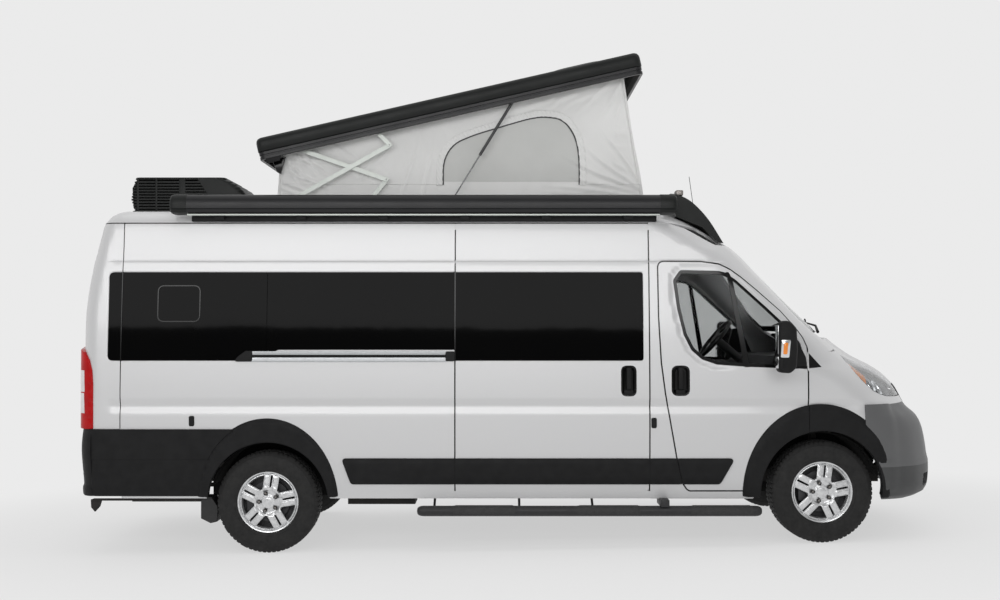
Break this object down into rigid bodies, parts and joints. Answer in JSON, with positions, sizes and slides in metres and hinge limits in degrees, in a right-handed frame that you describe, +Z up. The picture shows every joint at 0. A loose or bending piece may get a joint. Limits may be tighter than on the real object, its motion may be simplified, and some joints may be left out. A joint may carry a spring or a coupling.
{
  "type": "camper van",
  "caption": "High-roof camper van with a tilting pop-top roof lid, fabric tent walls, side awning case, sliding door, hinged cab and rear doors, opening hood and steered wheels.",
  "frame": {"origin": "on the floor, under the middle of the vehicle's box", "axes": "+X forward, +Y to the vehicle's left, +Z up"},
  "size_m": [6.4586, 2.56, 3.6706],
  "materials": {
    "paint": "metallic silver, clear coated",
    "dark_plastic": "grained",
    "dark_glass": "gloss black, privacy tint",
    "clear_glass": "light tint",
    "lamp_lens": "clear lens",
    "red_lens": "red lens",
    "bright_metal": "brushed",
    "chassis_metal": "black, satin",
    "liner_plastic": "matt",
    "rubber": "matt",
    "step_coating": "textured powder coat",
    "seat_cloth": "woven",
    "cabin_plastic": "soft touch",
    "tyre": "matt",
    "alloy": "machined and painted",
    "roof_plastic": "satin",
    "tent_fabric": "woven, coated",
    "zinc_steel": "pale, zinc plated",
    "strut_paint": "gloss black"
  },
  "bodies": {
    "root": {"roof_panel": "paint", "side_wall_right": "paint", "side_wall_left": "paint", "rear_frame": "paint", "cab_surround": "paint", "front_fenders": "paint", "bumper_front": "dark_plastic", "grille": "dark_plastic", "headlamps": "lamp_lens", "bumper_rear": "dark_plastic", "tail_lamps": "red_lens", "side_cladding": "dark_plastic", "sliding_door": "paint", "door_rail": "bright_metal", "side_glass": "dark_glass", "windscreen": "clear_glass", "floor_pan": "chassis_metal", "chassis_frame": "chassis_metal", "wheel_housings": "liner_plastic", "engine": "chassis_metal", "front_subframe": "chassis_metal", "rear_axle": "chassis_metal", "fuel_tank": "chassis_metal", "exhaust": "chassis_metal", "mud_flaps": "rubber", "side_steps": "step_coating", "tow_hitch": "chassis_metal", "plate_bracket": "dark_plastic", "cab_seats": "seat_cloth", "dashboard": "cabin_plastic", "steering_wheel": "cabin_plastic", "pop_top_base": "roof_plastic", "tent": "tent_fabric", "roof_equipment": "roof_plastic"},
    "hood": {"hood": "paint"},
    "cab_door_right": {"cab_door_right": "paint", "cab_door_glass_right": "clear_glass", "mirror_right": "dark_plastic"},
    "rear_door_right": {"rear_door_right": "paint"},
    "knuckle_right": {"knuckle_right": "chassis_metal"},
    "wheel_front_right": {"tyre_front_right": "tyre", "rim_front_right": "alloy"},
    "wheel_rear_right": {"tyre_rear_right": "tyre", "rim_rear_right": "alloy"},
    "cab_door_left": {"cab_door_left": "paint", "cab_door_glass_left": "clear_glass", "mirror_left": "dark_plastic"},
    "rear_door_left": {"rear_door_left": "paint"},
    "knuckle_left": {"knuckle_left": "chassis_metal"},
    "wheel_front_left": {"tyre_front_left": "tyre", "rim_front_left": "alloy"},
    "wheel_rear_left": {"tyre_rear_left": "tyre", "rim_rear_left": "alloy"},
    "pop_top": {"pop_top_lid": "roof_plastic"},
    "lower_arm": {"lower_arm": "zinc_steel"},
    "upper_arm": {"upper_arm": "zinc_steel"},
    "lower_link": {"lower_link": "zinc_steel"},
    "upper_link": {"upper_link": "zinc_steel"},
    "strut_tube": {"strut_tube": "strut_paint"},
    "strut_rod": {"strut_rod": "bright_metal"}
  },
  "joints": [
    {"name": "pop_top_tilt", "type": "hinge", "parent": "root", "child": "pop_top", "pos_m": [-3.37274, 0, 2.67146], "axis": [0, 1, 0], "range_deg": [0, 12.8], "deforming": ["tent"]},
    {"name": "lower_arm_pivot", "type": "hinge", "parent": "root", "child": "lower_arm", "pos_m": [-1.65297, 0, 2.58893], "axis": [0, 1, 0], "range_deg": [-1, 31.73]},
    {"name": "lower_link_pivot", "type": "hinge", "parent": "root", "child": "lower_link", "pos_m": [-1.04807, 0, 2.57784], "axis": [0, 1, 0], "range_deg": [-1, 46.62]},
    {"name": "upper_arm_pivot", "type": "hinge", "parent": "pop_top", "child": "upper_arm", "pos_m": [-1.6285, 0, 3.01179], "axis": [0, 1, 0], "range_deg": [-32.29, 1]},
    {"name": "upper_link_pivot", "type": "hinge", "parent": "pop_top", "child": "upper_link", "pos_m": [-1.0274, 0, 3.16644], "axis": [0, 1, 0], "range_deg": [-37.95, 1]},
    {"name": "strut_pivot", "type": "hinge", "parent": "pop_top", "child": "strut_tube", "pos_m": [0.09111, 0, 3.36742], "axis": [0, 1, 0], "range_deg": [-1, 43.99]},
    {"name": "strut_slide", "type": "slide", "parent": "strut_tube", "child": "strut_rod", "axis": [0.5388, 0, 0.8425], "range_m": [-0.005, 0.3752]},
    {"name": "hood_hinge", "type": "hinge", "parent": "root", "child": "hood", "pos_m": [2.32743, 0, 1.4828], "axis": [0, -1, 0], "range_deg": [0, 50]},
    {"name": "cab_door_right_hinge", "type": "hinge", "parent": "root", "child": "cab_door_right", "pos_m": [2.1618, -1.034, 0.95875], "axis": [0.0183, 0, 0.9998], "range_deg": [0, 68]},
    {"name": "cab_door_left_hinge", "type": "hinge", "parent": "root", "child": "cab_door_left", "pos_m": [2.1618, 1.034, 0.95875], "axis": [-0.0183, 0, -0.9998], "range_deg": [0, 68]},
    {"name": "rear_door_right_hinge", "type": "hinge", "parent": "root", "child": "rear_door_right", "pos_m": [-3.1818, -0.93, 1.35674], "axis": [0.0183, 0, 0.9998], "range_deg": [0, 180]},
    {"name": "rear_door_left_hinge", "type": "hinge", "parent": "root", "child": "rear_door_left", "pos_m": [-3.1818, 0.93, 1.35674], "axis": [-0.0183, 0, -0.9998], "range_deg": [0, 180]},
    {"name": "steering_right", "type": "hinge", "parent": "root", "child": "knuckle_right", "pos_m": [2.25506, -0.77, 0.372], "axis": [0.0183, 0, 0.9998], "range_deg": [-35, 35]},
    {"name": "steering_left", "type": "hinge", "parent": "root", "child": "knuckle_left", "pos_m": [2.25506, 0.77, 0.372], "axis": [0.0183, 0, 0.9998], "range_deg": [-35, 35]},
    {"name": "wheel_front_right_spin", "type": "hinge", "parent": "knuckle_right", "child": "wheel_front_right", "pos_m": [2.25506, -0.8875, 0.372], "axis": [0, 1, 0], "continuous": true},
    {"name": "wheel_front_left_spin", "type": "hinge", "parent": "knuckle_left", "child": "wheel_front_left", "pos_m": [2.25506, 0.8875, 0.372], "axis": [0, 1, 0], "continuous": true},
    {"name": "wheel_rear_right_spin", "type": "hinge", "parent": "root", "child": "wheel_rear_right", "pos_m": [-1.78161, -0.8875, 0.372], "axis": [0, 1, 0], "continuous": true},
    {"name": "wheel_rear_left_spin", "type": "hinge", "parent": "root", "child": "wheel_rear_left", "pos_m": [-1.78161, 0.8875, 0.372], "axis": [0, 1, 0], "continuous": true}
  ],
  "couplings": [
    {"joint": "lower_arm_pivot", "follows": "pop_top_tilt", "ratio": 2.401},
    {"joint": "lower_link_pivot", "follows": "pop_top_tilt", "ratio": 3.5637},
    {"joint": "upper_arm_pivot", "follows": "pop_top_tilt", "ratio": -2.4445},
    {"joint": "upper_link_pivot", "follows": "pop_top_tilt", "ratio": -2.887},
    {"joint": "strut_pivot", "follows": "pop_top_tilt", "ratio": 3.3583},
    {"joint": "strut_slide", "follows": "pop_top_tilt", "m_per_rad": 1.6573},
    {"joint": "steering_left", "follows": "steering_right", "ratio": 1}
  ]
}
